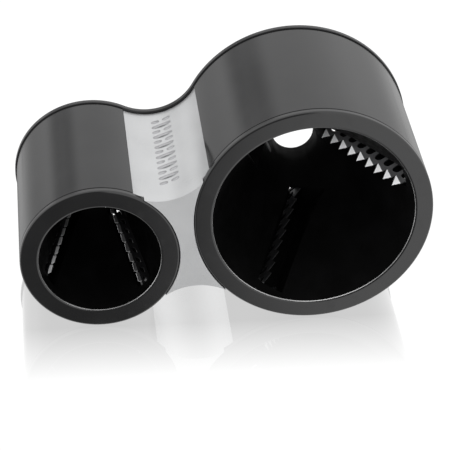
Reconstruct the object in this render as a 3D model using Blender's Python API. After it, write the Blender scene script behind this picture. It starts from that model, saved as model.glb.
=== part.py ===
"""Twin-tube spiral vegetable cutter, modelled in metres, +Z up.

Two round tubes lie side by side, joined by a narrow waist.  Their axes run along Y and their mouths
face -Y.  Each tube holds a cutting funnel whose wall carries three strips of saw-toothed steel; shreds
leave through a slot behind each strip and out of the open rear.  The origin is the middle of the bounding
box's base.
"""

import math

import bmesh
import bpy
from mathutils import Vector

MM = 0.001

# ---------------------------------------------------------------- driving dimensions
DEPTH = 57.6 * MM                 # front face to rear face
LARGE_RADIUS = 38.0 * MM          # outside of the large tube
SMALL_RADIUS = 25.3 * MM          # outside of the small tube
SPACING_X = 67.7 * MM             # sideways distance between the two tube axes
WAIST_RADIUS = 17.6 * MM          # finger grip arc, tangent to both tubes
FLANGE_PROUD = 0.5 * MM           # how far the rear frame stands out all round
REAR_THICKNESS = 2.0 * MM
SHELL_WALL = 2.6 * MM
RING_THICKNESS = 2.0 * MM         # front ring of each funnel
RING_FILLET = 0.7 * MM
RING_CHAMFER = 0.4 * MM
SPIGOT_DEPTH = 4.0 * MM           # locating sleeves that push into the shells
SPIGOT_WALL = 1.5 * MM
GAP = 0.3 * MM                    # assembly clearance between touching pieces

WAIST_RECESS = 0.4 * MM           # cover surface below the tangent arc
WAIST_EDGE = 0.6 * MM             # cover thickness along its side seams
WAIST_WALL = 2.2 * MM
BOSS_RADIUS = 3.4 * MM
BOSS_OFFSET = 10.5 * MM           # screw axes, above and below the line of centres

CONE_WALL = 1.8 * MM
CONE_START = 1.0 * MM             # depth at which each funnel starts to narrow
CONE_END = 48.0 * MM              # depth at which the spout collar starts
COLLAR_END = 55.4 * MM

SCREW_HEAD_RADIUS = 2.7 * MM
SCREW_HEAD_HEIGHT = 0.8 * MM
SCREW_SHANK_RADIUS = 1.3 * MM
SCREW_LENGTH = 9.0 * MM
SCREW_SOCKET_RADIUS = 1.2 * MM

STRIP_THICKNESS = 0.5 * MM        # toothed blade strips
STRIP_ANGLE = 75.0                # degrees between a strip and the funnel wall
SLOT_BEHIND = 2.2 * MM            # open slot behind each strip, where the shreds leave the funnel
POCKET_WALL = 1.5 * MM            # moulded pocket ahead of each strip, bulging out of the cone
BULGE_ROOT = 0.7 * MM             # how deep in the cone's wall the bulge starts
TOOTH_CLEARANCE = 3.0 * MM
CLAMP_WIDTH = 2.5 * MM
CLAMP_SEAT = 2.5 * MM             # clamp's inner edge, out from the funnel's inner surface
CLAMP_START = 4.5 * MM            # along the strip

FRONT = -DEPTH / 2
REAR = DEPTH / 2
SHELL_FRONT = FRONT + RING_THICKNESS + GAP
SHELL_REAR = REAR - REAR_THICKNESS - GAP

# Each funnel's strips: station angles, the base line of the teeth (sideways offset from the station's
# plane and slope towards the axis), and the teeth and windows, measured out from that line.  A tooth's tip
# is a share of the pitch from its front end.
LARGE = {
    "name": "large",
    "radius": LARGE_RADIUS,
    "mouth": 32.2 * MM,
    "tip": 7.5 * MM,
    "stations": (0.0, 104.0, 223.0),
    "line_offset": 9.3 * MM,
    "line_start": (29.1 * MM, 4.0 * MM),
    "line_slope": 30.0,
    "teeth": 9,
    "pitch": 4.5 * MM,
    "tooth_height": 3.9 * MM,
    "tooth_tip": 0.44,
    "strip_width": 6.0 * MM,
    "window": (1.45 * MM, 2.0 * MM, 3.1 * MM),
    "pocket": 7.0 * MM,
}
SMALL = {
    "name": "small",
    "radius": SMALL_RADIUS,
    "mouth": 19.35 * MM,
    "tip": 5.6 * MM,
    "stations": (84.0, 204.5, 318.0),
    "line_offset": 0.0 * MM,
    "line_start": (18.4 * MM, 4.0 * MM),
    "line_slope": 16.3,
    "teeth": 8,
    "pitch": 4.7 * MM,
    "tooth_height": 1.5 * MM,
    "tooth_tip": 0.25,
    "strip_width": 4.0 * MM,
    "window": (1.3 * MM, 1.1 * MM, 2.1 * MM),
    "pocket": 4.5 * MM,
}
WIDTH = SPACING_X + LARGE_RADIUS + SMALL_RADIUS + 2 * FLANGE_PROUD
SMALL["centre"] = (-WIDTH / 2 + FLANGE_PROUD + SMALL_RADIUS, SMALL_RADIUS + FLANGE_PROUD)
LARGE["centre"] = (SMALL["centre"][0] + SPACING_X, LARGE_RADIUS + FLANGE_PROUD)


# ---------------------------------------------------------------- scene and materials
def clear_scene():
    for old in list(bpy.data.objects):
        bpy.data.objects.remove(old, do_unlink=True)


def material(name, colour, roughness, metallic):
    made = bpy.data.materials.new(name)
    made.use_nodes = True
    shader = made.node_tree.nodes["Principled BSDF"]
    shader.inputs["Base Color"].default_value = (*colour, 1.0)
    shader.inputs["Roughness"].default_value = roughness
    shader.inputs["Metallic"].default_value = metallic
    made.diffuse_color = (*colour, 1.0)
    return made


# ---------------------------------------------------------------- mesh helpers
def add_object(name, verts, faces, finish, smooth_angle=35.0):
    """One closed mesh object with its faces pointing out."""
    mesh = bpy.data.meshes.new(name)
    mesh.from_pydata([tuple(v) for v in verts], [], faces)
    work = bmesh.new()
    work.from_mesh(mesh)
    bmesh.ops.remove_doubles(work, verts=work.verts, dist=1e-7)
    bmesh.ops.recalc_face_normals(work, faces=work.faces)
    work.to_mesh(mesh)
    work.free()
    if finish:
        mesh.materials.append(finish)
    mesh.shade_smooth()
    mesh.set_sharp_from_angle(angle=math.radians(smooth_angle))
    made = bpy.data.objects.new(name, mesh)
    bpy.context.collection.objects.link(made)
    return made


def sweep_loops(loops, closed=False):
    """Vertices and faces joining equal loops of points; the ends are capped, or joined if closed."""
    count = len(loops[0])
    verts = [point for loop in loops for point in loop]
    faces = []
    rows = len(loops)
    for row in range(rows if closed else rows - 1):
        start = row * count
        following = (row + 1) % rows * count
        for k in range(count):
            nxt = (k + 1) % count
            faces.append((start + k, start + nxt, following + nxt, following + k))
    if not closed:
        faces.append(tuple(range(count)))
        faces.append(tuple(range((rows - 1) * count, rows * count)))
    return verts, faces


def on_circle(centre, radius, angle):
    return (centre[0] + radius * math.cos(angle), centre[1] + radius * math.sin(angle))


def arc(centre, radius, start, end, steps):
    return [on_circle(centre, radius, start + (end - start) * k / steps) for k in range(steps + 1)]


def prism(name, outline, y_front, y_rear, finish):
    """An outline of (x, z) points, extruded along Y."""
    loops = [[(x, y, z) for x, z in outline] for y in (y_front, y_rear)]
    return add_object(name, *sweep_loops(loops), finish)


def cylinder(name, centre, radius, y_front, y_rear, steps=48, finish=None):
    outline = arc(centre, radius, 0.0, 2 * math.pi * (steps - 1) / steps, steps - 1)
    return prism(name, outline, y_front, y_rear, finish)


def turned(name, centre, profile, steps, finish):
    """A closed (radius, y) profile turned about a tube's axis."""
    loops = []
    for k in range(steps):
        angle = 2 * math.pi * k / steps
        turned_points = [(on_circle(centre, radius, angle), y) for radius, y in profile]
        loops.append([(x, y, z) for (x, z), y in turned_points])
    return add_object(name, *sweep_loops(loops, closed=True), finish)


def boolean(target, cutter, operation):
    """Combines the cutter with the target and removes the cutter."""
    step = target.modifiers.new(cutter.name, "BOOLEAN")
    step.operation = operation
    step.solver = "EXACT"
    step.object = cutter
    bpy.context.view_layer.objects.active = target
    bpy.ops.object.modifier_apply(modifier=step.name)
    bpy.data.objects.remove(cutter, do_unlink=True)


def cut(target, cutter):
    boolean(target, cutter, "DIFFERENCE")


def join(target, cutter):
    boolean(target, cutter, "UNION")


# ---------------------------------------------------------------- waist geometry
def line_of_centres():
    dx = LARGE["centre"][0] - SMALL["centre"][0]
    dz = LARGE["centre"][1] - SMALL["centre"][1]
    return math.hypot(dx, dz), math.atan2(dz, dx)


def circle_angle(radius, distance, other):
    """Angle at a circle's centre, from the line to a second circle's centre, to where they cross.

    Circles that don't reach each other give 0.
    """
    return math.acos(min(1.0, (radius ** 2 + distance ** 2 - other ** 2) / (2 * radius * distance)))


DISTANCE, TILT = line_of_centres()
SMALL_SEAM = circle_angle(SMALL_RADIUS + WAIST_RADIUS, DISTANCE, LARGE_RADIUS + WAIST_RADIUS)
LARGE_SEAM = circle_angle(LARGE_RADIUS + WAIST_RADIUS, DISTANCE, SMALL_RADIUS + WAIST_RADIUS)


def waist_outline(tube_radius_change, arc_radius, steps=20):
    """The region between the tubes: two grip arcs and the two facing stretches of tube.

    tube_radius_change grows or shrinks the tube circles, and arc_radius sets both grip arcs.
    """
    small_radius = SMALL_RADIUS + tube_radius_change
    large_radius = LARGE_RADIUS + tube_radius_change
    outline = []
    for side in (1, -1):
        grip = on_circle(SMALL["centre"], SMALL_RADIUS + WAIST_RADIUS, TILT + side * SMALL_SEAM)
        small_dir = TILT + side * (SMALL_SEAM + math.pi)
        large_dir = TILT - side * LARGE_SEAM
        small_turn = circle_angle(arc_radius, SMALL_RADIUS + WAIST_RADIUS, small_radius)
        large_turn = circle_angle(arc_radius, LARGE_RADIUS + WAIST_RADIUS, large_radius)
        start = small_dir + side * small_turn
        end = large_dir - side * large_turn
        while (end - start) * side < 0:
            end += side * 2 * math.pi
        while (end - start) * side > 2 * math.pi:
            end -= side * 2 * math.pi
        stretch = arc(grip, arc_radius, start, end, steps)
        outline.append(stretch if side == 1 else stretch[::-1])
    top, bottom = outline
    return top + facing_stretch(LARGE["centre"], large_radius, top[-1], bottom[0], TILT + math.pi) + \
        bottom + facing_stretch(SMALL["centre"], small_radius, bottom[-1], top[0], TILT)


def facing_stretch(centre, radius, start_point, end_point, facing, steps=14):
    """Points of a tube circle between two of its points, on the side that faces the other tube."""
    start = math.atan2(start_point[1] - centre[1], start_point[0] - centre[0]) - facing
    end = math.atan2(end_point[1] - centre[1], end_point[0] - centre[0]) - facing
    start = math.atan2(math.sin(start), math.cos(start)) + facing
    end = math.atan2(math.sin(end), math.cos(end)) + facing
    stretch = arc(centre, radius, start, end, steps)
    ends = (start_point, end_point)
    return [point for point in stretch if min(math.dist(point, end) for end in ends) > 1e-6]


def body_outline(proud, steps=72):
    """The whole figure-of-eight, grown outwards by proud."""
    centres = (SMALL["centre"], LARGE["centre"])
    top = on_circle(centres[0], SMALL_RADIUS + WAIST_RADIUS, TILT + SMALL_SEAM)
    bottom = on_circle(centres[0], SMALL_RADIUS + WAIST_RADIUS, TILT - SMALL_SEAM)
    grip = WAIST_RADIUS - proud
    small_part = arc(centres[0], SMALL_RADIUS + proud, TILT + SMALL_SEAM,
                     TILT + 2 * math.pi - SMALL_SEAM, steps // 2)
    bottom_part = arc(bottom, grip, TILT - SMALL_SEAM + math.pi, TILT + LARGE_SEAM, 16)
    large_part = arc(centres[1], LARGE_RADIUS + proud, TILT + LARGE_SEAM - math.pi,
                     TILT + math.pi - LARGE_SEAM, steps)
    top_part = arc(top, grip, TILT - LARGE_SEAM, TILT + SMALL_SEAM - math.pi, 16)
    return small_part + bottom_part[1:-1] + large_part + top_part[1:-1]


# ---------------------------------------------------------------- housing
def tube_shell(tube, facing, seam, steps, finish):
    """A tube with its wall thinned where the waist cover laps over it."""
    radius = tube["radius"]
    lap_radius = radius - WAIST_RECESS - WAIST_EDGE - GAP
    step_angle = GAP / radius
    lap = seam + step_angle
    lap_steps = max(6, round(steps * lap / math.pi))
    free_steps = steps - lap_steps
    angles = [(facing - lap + 2 * lap * k / lap_steps, lap_radius) for k in range(lap_steps + 1)]
    free_start = facing + lap + step_angle
    free_sweep = 2 * math.pi - 2 * (lap + step_angle)
    angles += [(free_start + free_sweep * k / free_steps, radius) for k in range(free_steps + 1)]
    outer = [on_circle(tube["centre"], r, a) for a, r in angles]
    inner = [on_circle(tube["centre"], radius - SHELL_WALL, a) for a, r in angles]
    loops = []
    for (ox, oz), (ix, iz) in zip(outer, inner):
        loops.append([(ox, SHELL_FRONT, oz), (ox, SHELL_REAR, oz),
                      (ix, SHELL_REAR, iz), (ix, SHELL_FRONT, iz)])
    return add_object(tube["name"] + "_tube_shell", *sweep_loops(loops, closed=True), finish)


def boss_centres():
    """The two screw axes, on the waist's narrow line through the gap between the tubes."""
    middle = (SMALL_RADIUS + DISTANCE - LARGE_RADIUS) / 2
    base = on_circle(SMALL["centre"], middle, TILT)
    return [on_circle(base, BOSS_OFFSET, TILT + side * math.pi / 2) for side in (1, -1)]


def waist_cover(finish):
    """A grip cover: two concave walls and a front plate, hollow behind, with two screw bosses."""
    grip_radius = WAIST_RADIUS + WAIST_RECESS
    tube_change = -WAIST_RECESS - WAIST_EDGE
    cover = prism("waist_cover", waist_outline(tube_change, grip_radius), FRONT, SHELL_REAR, finish)
    for tube in (SMALL, LARGE):
        clear = tube["radius"] + GAP
        cut(cover, cylinder("ring_clearance", tube["centre"], clear, FRONT - GAP, SHELL_FRONT, 72))
    hollow_outline = waist_outline(tube_change - WAIST_EDGE, grip_radius + WAIST_WALL)
    hollow = prism("hollow", hollow_outline, SHELL_FRONT + GAP, REAR, None)
    for centre in boss_centres():
        cut(hollow, cylinder("boss", centre, BOSS_RADIUS, FRONT, REAR + GAP, 20))
    cut(cover, hollow)
    for centre in boss_centres():
        hole_front = SHELL_REAR - SCREW_LENGTH
        cut(cover, cylinder("screw_hole", centre, SCREW_SHANK_RADIUS + GAP, hole_front, REAR, 16))
    return cover


def rear_frame(finish):
    """The rear frame: a figure-of-eight plate with two exits and sleeves that locate the shells."""
    plate_front = REAR - REAR_THICKNESS
    frame = prism("rear_frame", body_outline(FLANGE_PROUD), plate_front, REAR, finish)
    for tube in (SMALL, LARGE):
        sleeve = tube["radius"] - SHELL_WALL - GAP
        sleeve_front = plate_front - SPIGOT_DEPTH
        join(frame, cylinder("sleeve", tube["centre"], sleeve, sleeve_front, plate_front + GAP, 60))
        bore = sleeve - SPIGOT_WALL
        cut(frame, cylinder("exit", tube["centre"], bore, sleeve_front - GAP, REAR + GAP, 60))
    for centre in boss_centres():
        head_seat = REAR - SCREW_HEAD_HEIGHT - GAP
        cut(frame, cylinder("head_seat", centre, SCREW_HEAD_RADIUS + GAP, head_seat, REAR + GAP, 20))
        cut(frame, cylinder("shank_hole", centre, SCREW_SHANK_RADIUS + GAP, plate_front - GAP, REAR, 16))
    return frame


def rear_screw(name, centre, finish):
    """A pan-head screw with a hexagonal socket, its head flush with the rear frame."""
    head_front = REAR - SCREW_HEAD_HEIGHT
    profile = [
        (SCREW_SHANK_RADIUS, head_front - SCREW_LENGTH + GAP),
        (SCREW_SHANK_RADIUS, head_front),
        (SCREW_HEAD_RADIUS, head_front),
        (SCREW_HEAD_RADIUS - 0.3 * MM, REAR),
    ]
    loops = []
    for radius, y in profile:
        ring = arc(centre, radius, 0.0, 2 * math.pi * 15 / 16, 15)
        loops.append([(x, y, z) for x, z in ring])
    screw = add_object(name, *sweep_loops(loops), finish)
    cut(screw, cylinder("socket", centre, SCREW_SOCKET_RADIUS, REAR - 0.5 * MM, REAR + GAP, 6))
    return screw


# ---------------------------------------------------------------- funnels
def cone_slope(tube):
    return (tube["mouth"] - tube["tip"]) / (CONE_END - CONE_START)


def strip_frame(tube, station):
    """Origin and axes of a blade strip: down the wall, out through the wall, and across the strip."""
    angle = math.radians(station)
    slope = math.radians(tube["line_slope"])
    outward = Vector((math.cos(angle), 0.0, math.sin(angle)))
    around = Vector((-math.sin(angle), 0.0, math.cos(angle)))
    rearward = Vector((0.0, 1.0, 0.0))
    down = rearward * math.cos(slope) - outward * math.sin(slope)
    normal = outward * math.cos(slope) + rearward * math.sin(slope)
    tilt = math.radians(STRIP_ANGLE)
    out = around * math.cos(tilt) + normal * math.sin(tilt)
    across = around * math.sin(tilt) - normal * math.cos(tilt)
    centre = Vector((tube["centre"][0], FRONT, tube["centre"][1]))
    reach, depth = tube["line_start"]
    origin = centre + outward * reach + around * tube["line_offset"] + rearward * depth
    return origin, down, out, across


def strip_length(tube):
    return tube["pitch"] * tube["teeth"]


def strip_block(name, tube, station, lengths, widths, heights, finish):
    """A straight block in a strip's own axes: ranges down the wall, out through it and across."""
    origin, down, out, across = strip_frame(tube, station)
    loops = []
    for length in lengths:
        base = origin + down * length
        corners = ((0, 0), (1, 0), (1, 1), (0, 1))
        loops.append([base + out * widths[w] + across * heights[h] for w, h in corners])
    return add_object(name, *sweep_loops(loops), finish)


def funnel(tube, steps, finish):
    """Front ring, cone and spout collar in one moulding, with a slot at each blade station."""
    mouth = tube["mouth"]
    tip = tube["tip"]
    radius = tube["radius"]
    wall = CONE_WALL / math.cos(math.atan(cone_slope(tube)))
    spigot = radius - SHELL_WALL - GAP
    spigot_end = RING_THICKNESS + SPIGOT_DEPTH
    spigot_root = mouth - cone_slope(tube) * (spigot_end - CONE_START) + wall
    lip = tip - 0.5 * MM
    profile = [(mouth + RING_CHAMFER, 0.0), (radius - RING_FILLET, 0.0)]
    for k in range(1, 4):
        turn = k * math.pi / 6
        profile.append((radius - RING_FILLET * (1 - math.sin(turn)), RING_FILLET * (1 - math.cos(turn))))
    profile += [
        (radius, RING_THICKNESS),
        (spigot, RING_THICKNESS),
        (spigot, spigot_end),
        (spigot_root, spigot_end),
        (tip + wall, CONE_END),
        (lip + CONE_WALL, COLLAR_END),
        (lip, COLLAR_END),
        (tip, CONE_END),
        (mouth, CONE_START),
        (mouth, RING_CHAMFER),
    ]
    placed = [(r, FRONT + y) for r, y in profile]
    made = turned(tube["name"] + "_funnel", tube["centre"], placed, steps, finish)
    length = strip_length(tube)
    floor = tube["strip_width"] + GAP
    inner = -tube["tooth_height"] - TOOTH_CLEARANCE
    behind = -STRIP_THICKNESS / 2 - GAP
    for station in tube["stations"]:
        bulge = strip_block("bulge", tube, station, (-POCKET_WALL, length + POCKET_WALL),
                            (inner - POCKET_WALL, floor + POCKET_WALL),
                            (behind, tube["pocket"] + POCKET_WALL), None)
        room = cylinder("room", tube["centre"], spigot - GAP, FRONT + RING_THICKNESS + GAP, SHELL_REAR, 64)
        boolean(bulge, room, "INTERSECT")
        cut(bulge, funnel_core(tube, steps))
        join(made, bulge)
    for station in tube["stations"]:
        cut(made, strip_block("pocket", tube, station, (-GAP, length + GAP), (inner, floor),
                              (behind - GAP, tube["pocket"]), None))
        cut(made, strip_block("slot", tube, station, (0.0, length), (inner - GAP, floor + GAP),
                              (-SLOT_BEHIND, behind - GAP / 2), None))
        cut(made, strip_block("clamp_seat", tube, station, (CLAMP_START - GAP, length + GAP / 2),
                              (CLAMP_SEAT - GAP, floor + POCKET_WALL),
                              (behind - CLAMP_WIDTH - GAP, behind - GAP / 3), None))
    return made


def funnel_core(tube, steps):
    """The space inside a funnel, grown part of the way into its wall."""
    loops = []
    for radius, depth in ((tube["mouth"], 0.0), (tube["mouth"], CONE_START), (tube["tip"], CONE_END),
                          (tube["tip"], DEPTH)):
        ring = arc(tube["centre"], radius + BULGE_ROOT, 0.0, 2 * math.pi * (steps - 1) / steps, steps - 1)
        loops.append([(x, FRONT + depth, z) for x, z in ring])
    return add_object("core", *sweep_loops(loops), None)


# ---------------------------------------------------------------- blades
def strip_outer_edge(tube, along):
    """The strip's outer edge runs in at the front, where the housing leaves less room."""
    full = tube["strip_width"]
    return min(full, full * 0.72 + along * 0.2)


def comb(name, tube, station, finish):
    """A flat steel strip with saw teeth along its inner edge and a window above each tooth."""
    origin, down, out, across = strip_frame(tube, station)
    half = STRIP_THICKNESS / 2
    pitch = tube["pitch"]
    wide, tall, centre = tube["window"]
    points = []
    index = {}
    faces = []

    def point(along, width, thickness=half):
        key = (round(along, 7), round(width, 7))
        if key not in index:
            index[key] = len(points)
            place = origin + down * along + out * width
            points.append((place - across * thickness, place + across * thickness))
        return index[key]

    for tooth in range(tube["teeth"]):
        near = tooth * pitch
        far = near + pitch
        middle = near + pitch * 0.44
        peak = near + pitch * tube["tooth_tip"]
        edge_near = strip_outer_edge(tube, near)
        edge_far = strip_outer_edge(tube, far)
        edge_middle = edge_near + (edge_far - edge_near) * 0.44
        reach = min(centre, edge_middle / 2)
        rim = [point(near, 0.0), point(middle, 0.0), point(far, 0.0), point(far, edge_far / 2),
               point(far, edge_far), point(middle, edge_middle), point(near, edge_near),
               point(near, edge_near / 2)]
        window = []
        for k in range(8):
            turn = math.radians(225 + 45 * k)
            shrink = reach / centre
            window.append(point(middle + wide * math.cos(turn), reach + tall * shrink * math.sin(turn)))
        for k in range(8):
            nxt = (k + 1) % 8
            faces.append((rim[k], rim[nxt], window[nxt], window[k]))
        tip = point(peak, -tube["tooth_height"], 0.1 * MM)
        faces.append((rim[0], tip, rim[1]))
        faces.append((rim[1], tip, rim[2]))
    return add_object(name, *thicken(points, faces), finish, 20.0)


def thicken(points, faces):
    """Two skins from pairs of points, closed along every open edge."""
    count = len(points)
    verts = [pair[0] for pair in points] + [pair[1] for pair in points]
    edges = set()
    for face in faces:
        edges.update((face[k], face[(k + 1) % len(face)]) for k in range(len(face)))
    skins = list(faces) + [tuple(v + count for v in reversed(face)) for face in faces]
    skins += [(b, a, a + count, b + count) for a, b in sorted(edges) if (b, a) not in edges]
    return verts, skins


def clamp(name, tube, station, finish):
    """A black bar behind the strip, outside the funnel, that backs the strip's windows."""
    low = CLAMP_SEAT
    high = tube["strip_width"] - 0.6 * MM
    lengths = (CLAMP_START, strip_length(tube) - 1.0 * MM)
    heights = (-STRIP_THICKNESS / 2 - GAP - CLAMP_WIDTH, -STRIP_THICKNESS / 2 - GAP)
    return strip_block(name, tube, station, lengths, (low, high), heights, finish)


# ---------------------------------------------------------------- assembly
def build():
    clear_scene()
    black = material("black_gloss_plastic", (0.012, 0.012, 0.013), 0.18, 0.0)
    silver = material("silver_satin_plastic", (0.55, 0.56, 0.57), 0.35, 0.6)
    steel = material("blade_steel", (0.62, 0.62, 0.63), 0.25, 1.0)
    screw_steel = material("screw_steel", (0.45, 0.45, 0.46), 0.35, 1.0)

    tube_shell(SMALL, TILT, SMALL_SEAM, 56, black)
    tube_shell(LARGE, TILT + math.pi, LARGE_SEAM, 72, black)
    waist_cover(silver)
    rear_frame(black)
    for number, centre in enumerate(boss_centres(), 1):
        rear_screw(f"rear_screw_{number}", centre, screw_steel)
    for tube, steps in ((SMALL, 48), (LARGE, 60)):
        funnel(tube, steps, black)
        for number, station in enumerate(tube["stations"], 1):
            comb(f"{tube['name']}_comb_{number}", tube, station, steel)
            clamp(f"{tube['name']}_blade_clamp_{number}", tube, station, black)


build()
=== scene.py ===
"""The looks of the twin-tube spiral vegetable cutter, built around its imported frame.

Every node is replaced by a smooth, finely edged piece in the same place, worked out from the frame's
boxes.  The frame is in metres, with +Z up, the tube axes along Y and the mouths facing -Y.
"""

import math

import bmesh
import bpy
from mathutils import Matrix, Vector


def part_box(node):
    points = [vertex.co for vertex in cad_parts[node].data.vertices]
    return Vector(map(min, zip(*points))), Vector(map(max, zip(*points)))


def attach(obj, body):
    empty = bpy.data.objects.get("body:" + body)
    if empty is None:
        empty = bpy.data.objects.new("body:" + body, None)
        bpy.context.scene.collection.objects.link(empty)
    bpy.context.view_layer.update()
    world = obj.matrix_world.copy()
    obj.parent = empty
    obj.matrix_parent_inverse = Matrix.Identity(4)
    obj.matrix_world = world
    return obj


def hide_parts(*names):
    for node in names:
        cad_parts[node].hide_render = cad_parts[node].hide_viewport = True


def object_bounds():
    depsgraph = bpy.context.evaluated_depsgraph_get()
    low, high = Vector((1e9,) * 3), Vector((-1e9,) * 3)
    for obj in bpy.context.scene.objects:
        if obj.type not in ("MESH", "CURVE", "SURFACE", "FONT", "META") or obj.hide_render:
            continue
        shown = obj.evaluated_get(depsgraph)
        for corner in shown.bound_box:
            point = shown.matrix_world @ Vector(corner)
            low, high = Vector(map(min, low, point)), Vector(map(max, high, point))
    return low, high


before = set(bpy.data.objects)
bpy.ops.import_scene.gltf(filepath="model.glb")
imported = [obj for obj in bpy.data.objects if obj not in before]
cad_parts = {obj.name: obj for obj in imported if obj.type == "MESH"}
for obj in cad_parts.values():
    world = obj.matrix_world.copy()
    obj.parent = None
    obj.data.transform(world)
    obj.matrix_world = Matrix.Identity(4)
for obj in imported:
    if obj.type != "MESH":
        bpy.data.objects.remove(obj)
CAD_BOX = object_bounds()

MM = 0.001
GAP = 0.3 * MM                    # clearance between touching pieces
BODY = "root"

# ---------------------------------------------------------------- sizes read from the frame
LOW, HIGH = CAD_BOX
FRONT, REAR = LOW[1], HIGH[1]
DEPTH = REAR - FRONT


def tube_from(name, mouth, tip):
    low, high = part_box(name + "_funnel")
    return {
        "name": name,
        "radius": (high[0] - low[0]) / 2,
        "centre": ((low[0] + high[0]) / 2, (low[2] + high[2]) / 2),
        "mouth": mouth,
        "tip": tip,
    }


LARGE = tube_from("large", 32.2 * MM, 7.5 * MM)
LARGE.update({
    "stations": (0.0, 104.0, 223.0),
    "line_offset": 9.3 * MM,
    "line_start": (29.1 * MM, 4.0 * MM),
    "line_slope": 30.0,
    "teeth": 9,
    "pitch": 4.5 * MM,
    "tooth_height": 3.9 * MM,
    "tooth_tip": 0.44,            # tip, notch ahead of it and heel behind, as shares of pitch and height
    "notch": (0.11, 0.40),
    "heel": (0.72, 0.50),
    "strip_width": 6.0 * MM,
    "window": (1.5 * MM, 2.35 * MM, 3.1 * MM),
    "pocket": 7.0 * MM,
})
SMALL = tube_from("small", 19.35 * MM, 5.6 * MM)
SMALL.update({
    "stations": (84.0, 204.5, 318.0),
    "line_offset": 0.0,
    "line_start": (18.4 * MM, 4.0 * MM),
    "line_slope": 16.3,
    "teeth": 8,
    "pitch": 4.7 * MM,
    "tooth_height": 1.5 * MM,
    "tooth_tip": 0.12,
    "notch": (0.18, 0.10),
    "heel": (0.93, 0.72),
    "strip_width": 4.0 * MM,
    "window": (1.3 * MM, 1.1 * MM, 2.1 * MM),
    "pocket": 4.5 * MM,
})
FLANGE_PROUD = SMALL["centre"][0] - SMALL["radius"] - LOW[0]

REAR_THICKNESS = 2.0 * MM
RING_THICKNESS = 2.0 * MM
SHELL_WALL = 2.6 * MM
SPIGOT_DEPTH = 4.0 * MM
SPIGOT_WALL = 1.5 * MM
RING_FILLET = 0.7 * MM
RING_CHAMFER = 0.4 * MM
SHELL_FRONT = FRONT + RING_THICKNESS + GAP
SHELL_REAR = REAR - REAR_THICKNESS - GAP

WAIST_RADIUS = 17.6 * MM
WAIST_RECESS = 0.4 * MM
WAIST_EDGE = 0.6 * MM
WAIST_WALL = 2.2 * MM
SEAM_WIDTH = 0.35 * MM            # open line between the cover and each shell
BOSS_RADIUS = 3.4 * MM
BOSS_OFFSET = 10.5 * MM

CONE_WALL = 1.8 * MM
CONE_START = 1.0 * MM
CONE_END = 48.0 * MM
COLLAR_END = 55.4 * MM
BULGE_ROOT = 0.7 * MM
POCKET_WALL = 1.5 * MM
TOOTH_CLEARANCE = 3.0 * MM
SLOT_BEHIND = 2.2 * MM

STRIP_THICKNESS = 0.5 * MM
STRIP_ANGLE = 75.0
CLAMP_WIDTH = 2.5 * MM
CLAMP_SEAT = 2.5 * MM
CLAMP_START = 4.5 * MM

SCREW_HEAD_RADIUS = 2.7 * MM
SCREW_HEAD_HEIGHT = 0.8 * MM
SCREW_SHANK_RADIUS = 1.3 * MM
SCREW_LENGTH = 9.0 * MM
SCREW_SOCKET_RADIUS = 1.2 * MM


# ---------------------------------------------------------------- node material helpers
class Shader:
    """A Principled material with a few procedural helpers in object space."""

    def __init__(self, name, colour, roughness, metallic=0.0, specular=0.5):
        self.material = bpy.data.materials.new(name)
        self.material.use_nodes = True
        self.tree = self.material.node_tree
        self.main = self.tree.nodes["Principled BSDF"]
        self.main.inputs["Base Color"].default_value = (*colour, 1.0)
        self.main.inputs["Roughness"].default_value = roughness
        self.main.inputs["Metallic"].default_value = metallic
        self.main.inputs["Specular IOR Level"].default_value = specular
        self.coords = self.tree.nodes.new("ShaderNodeTexCoord")

    def link(self, source, target):
        self.tree.links.new(source, target)

    def stretched(self, scale):
        mapping = self.tree.nodes.new("ShaderNodeMapping")
        mapping.inputs["Scale"].default_value = scale
        self.link(self.coords.outputs["Object"], mapping.inputs["Vector"])
        return mapping.outputs["Vector"]

    def noise(self, scale, detail=3.0, roughness=0.5, stretch=(1.0, 1.0, 1.0)):
        node = self.tree.nodes.new("ShaderNodeTexNoise")
        node.inputs["Scale"].default_value = scale
        node.inputs["Detail"].default_value = detail
        node.inputs["Roughness"].default_value = roughness
        self.link(self.stretched(stretch), node.inputs["Vector"])
        return node.outputs["Fac"]

    def remap(self, value, low, high, to_low, to_high):
        node = self.tree.nodes.new("ShaderNodeMapRange")
        node.inputs["From Min"].default_value = low
        node.inputs["From Max"].default_value = high
        node.inputs["To Min"].default_value = to_low
        node.inputs["To Max"].default_value = to_high
        self.link(value, node.inputs["Value"])
        return node.outputs["Result"]

    def math(self, operation, *values):
        """A math node; a value is a number or another node's output."""
        node = self.tree.nodes.new("ShaderNodeMath")
        node.operation = operation
        for socket, value in zip(node.inputs, values):
            if isinstance(value, (int, float)):
                socket.default_value = value
            else:
                self.link(value, socket)
        return node.outputs["Value"]

    def blend(self, value, colour_a, colour_b):
        node = self.tree.nodes.new("ShaderNodeMix")
        node.data_type = "RGBA"
        node.inputs["A"].default_value = (*colour_a, 1.0)
        node.inputs["B"].default_value = (*colour_b, 1.0)
        self.link(value, node.inputs["Factor"])
        self.link(node.outputs["Result"], self.main.inputs["Base Color"])

    def roughen(self, value):
        self.link(value, self.main.inputs["Roughness"])

    def bump(self, value, distance, strength=1.0):
        node = self.tree.nodes.new("ShaderNodeBump")
        node.inputs["Distance"].default_value = distance
        node.inputs["Strength"].default_value = strength
        self.link(value, node.inputs["Height"])
        self.link(node.outputs["Normal"], self.main.inputs["Normal"])


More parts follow.
